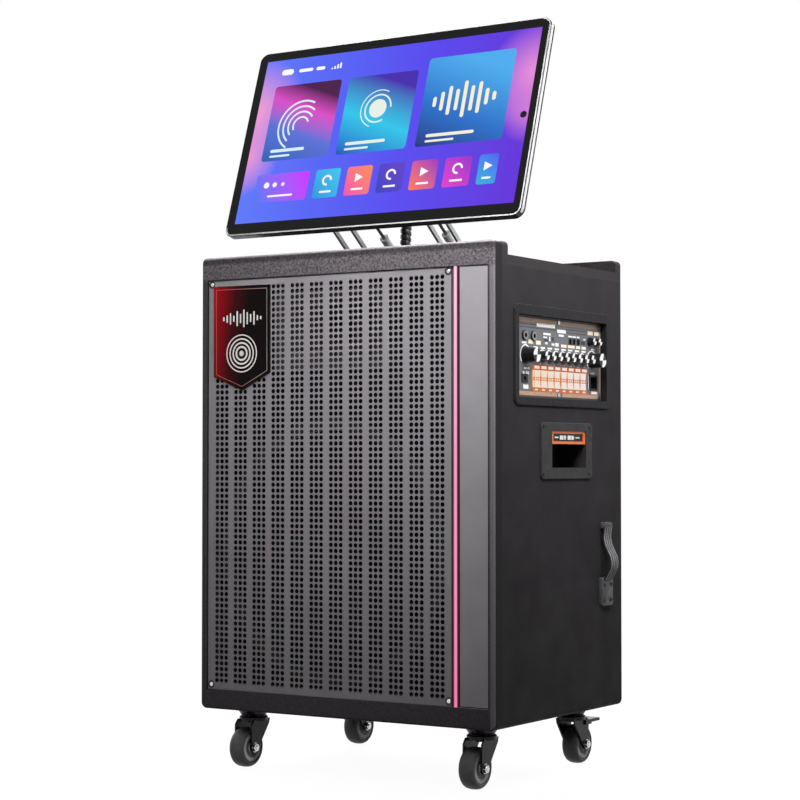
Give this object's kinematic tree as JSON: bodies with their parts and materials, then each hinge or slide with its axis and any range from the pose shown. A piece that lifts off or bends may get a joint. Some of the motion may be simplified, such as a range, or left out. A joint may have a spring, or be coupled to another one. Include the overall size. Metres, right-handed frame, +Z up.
{
  "type": "karaoke machine",
  "caption": "Portable karaoke machine: a black speaker cabinet on casters with a perforated front, a side control panel and a folding touchscreen on top.",
  "frame": {"origin": "on the floor under the middle of the cabinet", "axes": "+Z up, -Y towards the front grille, +X towards the control side"},
  "size_m": [0.547, 0.372, 1.0744],
  "materials": {
    "vinyl": "satin",
    "grain": "matte",
    "grille": "satin",
    "glow": "gloss",
    "trim": "satin",
    "bright": "gloss",
    "board": "matte",
    "basket": "satin",
    "cone": "matte",
    "horn": "matte",
    "battery": "satin",
    "amplifier": "satin",
    "surround": "satin",
    "plate": "satin",
    "socket": "satin",
    "cup": "satin",
    "insert": "satin",
    "strap": "matte",
    "caster": "gloss",
    "wheel": "matte",
    "rim": "satin",
    "display": "gloss",
    "cover": "satin",
    "bracket": "satin",
    "arm": "satin",
    "tube": "satin",
    "ram": "gloss",
    "loom": "satin",
    "knob": "satin",
    "key": "satin"
  },
  "bodies": {
    "cabinet": {"cabinet_shell": "vinyl", "top_tray": "grain", "rear_panel": "vinyl", "front_baffle": "board", "front_frame": "grain", "speaker_grille": "grille", "light_strip": "glow", "trim_panel": "trim", "bright_screws": "bright", "woofer_basket": "basket", "woofer_cone": "cone", "tweeter_horn": "horn", "battery_pack": "battery", "amplifier_module": "amplifier", "control_surround": "surround", "control_plate": "plate", "panel_sockets": "socket", "handle_cups": "cup", "cup_insert": "insert", "strap_handles": "strap", "caster_plates": "caster", "screen_base": "bracket", "cable_loom": "loom"},
    "fork_front_left": {"fork_front_left": "caster"},
    "wheel_front_left": {"wheel_front_left": "wheel"},
    "fork_front_right": {"fork_front_right": "caster"},
    "wheel_front_right": {"wheel_front_right": "wheel"},
    "fork_rear_left": {"fork_rear_left": "caster"},
    "wheel_rear_left": {"wheel_rear_left": "wheel"},
    "pedal_left": {"pedal_left": "caster"},
    "fork_rear_right": {"fork_rear_right": "caster"},
    "wheel_rear_right": {"wheel_rear_right": "wheel"},
    "pedal_right": {"pedal_right": "caster"},
    "arms": {"screen_arms": "arm"},
    "screen": {"screen_bracket": "bracket", "touch_display": "display", "screen_frame": "rim", "screen_cover": "cover"},
    "strut_cylinders": {"strut_cylinders": "tube"},
    "strut_rods": {"strut_rods": "ram"},
    "knob_large_front": {"knob_large_front": "knob"},
    "knob_small_1": {"knob_small_1": "knob"},
    "knob_small_2": {"knob_small_2": "knob"},
    "knob_small_3": {"knob_small_3": "knob"},
    "knob_small_4": {"knob_small_4": "knob"},
    "knob_small_5": {"knob_small_5": "knob"},
    "knob_small_6": {"knob_small_6": "knob"},
    "knob_small_7": {"knob_small_7": "knob"},
    "knob_small_8": {"knob_small_8": "knob"},
    "knob_large_back": {"knob_large_back": "knob"},
    "knob_upper_1": {"knob_upper_1": "knob"},
    "knob_upper_2": {"knob_upper_2": "knob"},
    "key_1": {"key_1": "key"},
    "key_2": {"key_2": "key"},
    "key_3": {"key_3": "key"},
    "key_4": {"key_4": "key"},
    "key_5": {"key_5": "key"},
    "key_6": {"key_6": "key"},
    "key_7": {"key_7": "key"},
    "key_8": {"key_8": "key"}
  },
  "joints": [
    {"name": "swivel_front_left", "type": "hinge", "parent": "cabinet", "child": "fork_front_left", "pos_m": [-0.195, -0.13, 0.0695], "axis": [0, 0, 1], "continuous": true},
    {"name": "roll_front_left", "type": "hinge", "parent": "fork_front_left", "child": "wheel_front_left", "pos_m": [-0.195, -0.148, 0.029], "axis": [1, 0, 0], "continuous": true},
    {"name": "swivel_front_right", "type": "hinge", "parent": "cabinet", "child": "fork_front_right", "pos_m": [0.195, -0.13, 0.0695], "axis": [0, 0, 1], "continuous": true},
    {"name": "roll_front_right", "type": "hinge", "parent": "fork_front_right", "child": "wheel_front_right", "pos_m": [0.195, -0.148, 0.029], "axis": [1, 0, 0], "continuous": true},
    {"name": "swivel_rear_left", "type": "hinge", "parent": "cabinet", "child": "fork_rear_left", "pos_m": [-0.195, 0.13, 0.0695], "axis": [0, 0, 1], "continuous": true},
    {"name": "roll_rear_left", "type": "hinge", "parent": "fork_rear_left", "child": "wheel_rear_left", "pos_m": [-0.195, 0.148, 0.029], "axis": [1, 0, 0], "continuous": true},
    {"name": "brake_left", "type": "hinge", "parent": "fork_rear_left", "child": "pedal_left", "pos_m": [-0.195, 0.146, 0.0615], "axis": [1, 0, 0], "range_deg": [0, 14]},
    {"name": "swivel_rear_right", "type": "hinge", "parent": "cabinet", "child": "fork_rear_right", "pos_m": [0.195, 0.13, 0.0695], "axis": [0, 0, 1], "continuous": true},
    {"name": "roll_rear_right", "type": "hinge", "parent": "fork_rear_right", "child": "wheel_rear_right", "pos_m": [0.195, 0.148, 0.029], "axis": [1, 0, 0], "continuous": true},
    {"name": "brake_right", "type": "hinge", "parent": "fork_rear_right", "child": "pedal_right", "pos_m": [0.195, 0.146, 0.0615], "axis": [1, 0, 0], "range_deg": [0, 14]},
    {"name": "screen_fold", "type": "hinge", "parent": "cabinet", "child": "arms", "pos_m": [0, 0.0037, 0.74], "axis": [1, 0, 0], "range_deg": [0, 34.56], "deforming": ["cable_loom"]},
    {"name": "screen_turn", "type": "hinge", "parent": "arms", "child": "screen", "pos_m": [0, -0.08363, 0.80715], "axis": [1, 0, 0], "range_deg": [-106.66, 0.1]},
    {"name": "strut_swing", "type": "hinge", "parent": "cabinet", "child": "strut_cylinders", "pos_m": [0, 0.0664, 0.74], "axis": [1, 0, 0], "range_deg": [-0.1, 33]},
    {"name": "strut_slide", "type": "slide", "parent": "strut_cylinders", "child": "strut_rods", "axis": [0, -0.8165, 0.5774], "range_m": [-0.03172, 0.0001]},
    {"name": "turn_knob_large_front", "type": "hinge", "parent": "cabinet", "child": "knob_large_front", "pos_m": [0.24175, -0.09165, 0.594], "axis": [1, 0, 0], "range_deg": [-140, 140]},
    {"name": "turn_knob_small_1", "type": "hinge", "parent": "cabinet", "child": "knob_small_1", "pos_m": [0.24175, -0.06222, 0.594], "axis": [1, 0, 0], "range_deg": [-140, 140]},
    {"name": "turn_knob_small_2", "type": "hinge", "parent": "cabinet", "child": "knob_small_2", "pos_m": [0.24175, -0.04243, 0.594], "axis": [1, 0, 0], "range_deg": [-140, 140]},
    {"name": "turn_knob_small_3", "type": "hinge", "parent": "cabinet", "child": "knob_small_3", "pos_m": [0.24175, -0.02264, 0.594], "axis": [1, 0, 0], "range_deg": [-140, 140]},
    {"name": "turn_knob_small_4", "type": "hinge", "parent": "cabinet", "child": "knob_small_4", "pos_m": [0.24175, -0.00285, 0.594], "axis": [1, 0, 0], "range_deg": [-140, 140]},
    {"name": "turn_knob_small_5", "type": "hinge", "parent": "cabinet", "child": "knob_small_5", "pos_m": [0.24175, 0.01695, 0.594], "axis": [1, 0, 0], "range_deg": [-140, 140]},
    {"name": "turn_knob_small_6", "type": "hinge", "parent": "cabinet", "child": "knob_small_6", "pos_m": [0.24175, 0.03674, 0.594], "axis": [1, 0, 0], "range_deg": [-140, 140]},
    {"name": "turn_knob_small_7", "type": "hinge", "parent": "cabinet", "child": "knob_small_7", "pos_m": [0.24175, 0.05653, 0.594], "axis": [1, 0, 0], "range_deg": [-140, 140]},
    {"name": "turn_knob_small_8", "type": "hinge", "parent": "cabinet", "child": "knob_small_8", "pos_m": [0.24175, 0.07632, 0.594], "axis": [1, 0, 0], "range_deg": [-140, 140]},
    {"name": "turn_knob_large_back", "type": "hinge", "parent": "cabinet", "child": "knob_large_back", "pos_m": [0.24175, 0.10575, 0.594], "axis": [1, 0, 0], "range_deg": [-140, 140]},
    {"name": "turn_knob_upper_1", "type": "hinge", "parent": "cabinet", "child": "knob_upper_1", "pos_m": [0.24175, 0.09849, 0.6215], "axis": [1, 0, 0], "range_deg": [-140, 140]},
    {"name": "turn_knob_upper_2", "type": "hinge", "parent": "cabinet", "child": "knob_upper_2", "pos_m": [0.24175, 0.11619, 0.6215], "axis": [1, 0, 0], "range_deg": [-140, 140]},
    {"name": "rock_key_1", "type": "hinge", "parent": "cabinet", "child": "key_1", "pos_m": [0.24175, -0.06421, 0.562], "axis": [0, 1, 0], "range_deg": [-3.5, 3.5], "stiffness_Nm_per_rad": 0.3},
    {"name": "rock_key_2", "type": "hinge", "parent": "cabinet", "child": "key_2", "pos_m": [0.24175, -0.04471, 0.562], "axis": [0, 1, 0], "range_deg": [-3.5, 3.5], "stiffness_Nm_per_rad": 0.3},
    {"name": "rock_key_3", "type": "hinge", "parent": "cabinet", "child": "key_3", "pos_m": [0.24175, -0.02521, 0.562], "axis": [0, 1, 0], "range_deg": [-3.5, 3.5], "stiffness_Nm_per_rad": 0.3},
    {"name": "rock_key_4", "type": "hinge", "parent": "cabinet", "child": "key_4", "pos_m": [0.24175, -0.0057, 0.562], "axis": [0, 1, 0], "range_deg": [-3.5, 3.5], "stiffness_Nm_per_rad": 0.3},
    {"name": "rock_key_5", "type": "hinge", "parent": "cabinet", "child": "key_5", "pos_m": [0.24175, 0.0138, 0.562], "axis": [0, 1, 0], "range_deg": [-3.5, 3.5], "stiffness_Nm_per_rad": 0.3},
    {"name": "rock_key_6", "type": "hinge", "parent": "cabinet", "child": "key_6", "pos_m": [0.24175, 0.03331, 0.562], "axis": [0, 1, 0], "range_deg": [-3.5, 3.5], "stiffness_Nm_per_rad": 0.3},
    {"name": "rock_key_7", "type": "hinge", "parent": "cabinet", "child": "key_7", "pos_m": [0.24175, 0.05281, 0.562], "axis": [0, 1, 0], "range_deg": [-3.5, 3.5], "stiffness_Nm_per_rad": 0.3},
    {"name": "rock_key_8", "type": "hinge", "parent": "cabinet", "child": "key_8", "pos_m": [0.24175, 0.07232, 0.562], "axis": [0, 1, 0], "range_deg": [-3.5, 3.5], "stiffness_Nm_per_rad": 0.3}
  ],
  "couplings": [
    {"joint": "screen_turn", "follows": "screen_fold", "ratio": -3.0833},
    {"joint": "strut_swing", "follows": "screen_fold", "ratio": 0.952},
    {"joint": "strut_slide", "follows": "screen_fold", "m_per_rad": -0.052423}
  ]
}
